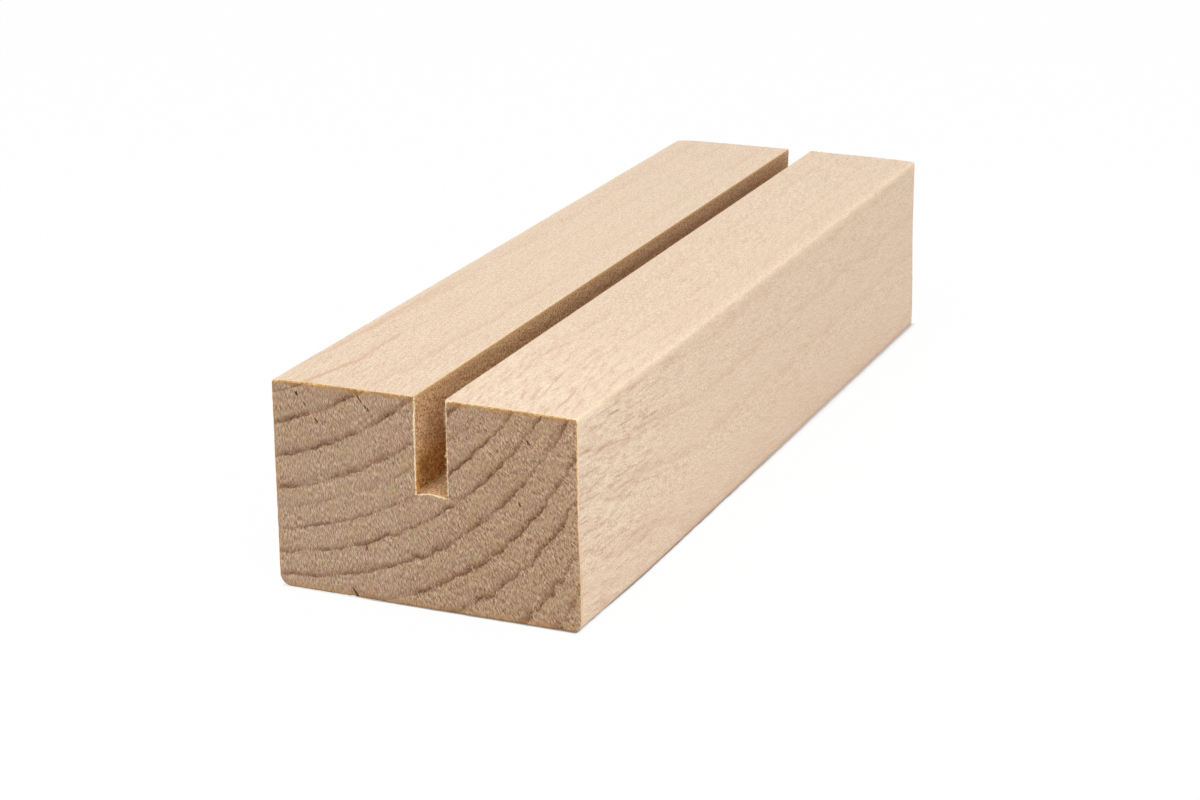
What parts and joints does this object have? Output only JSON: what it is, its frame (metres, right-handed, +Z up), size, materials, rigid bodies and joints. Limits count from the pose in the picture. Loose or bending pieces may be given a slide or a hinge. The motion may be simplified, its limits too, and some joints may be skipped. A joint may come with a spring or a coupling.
{
  "type": "photo block holder",
  "caption": "Rectangular solid beech block with a straight slot sawn along its whole top, which holds a photo, card or thin panel upright.",
  "frame": {"origin": "middle of the underside, which the block stands on", "axes": "+X across the block, toward the side that the slot is nearer to; +Y along its length and the slot; +Z up, out of the slot's mouth"},
  "size_m": [0.03, 0.1, 0.02],
  "materials": {
    "beech": "sawn and sanded beech, unfinished"
  },
  "bodies": {
    "root": {"block": "beech"}
  },
  "joints": []
}
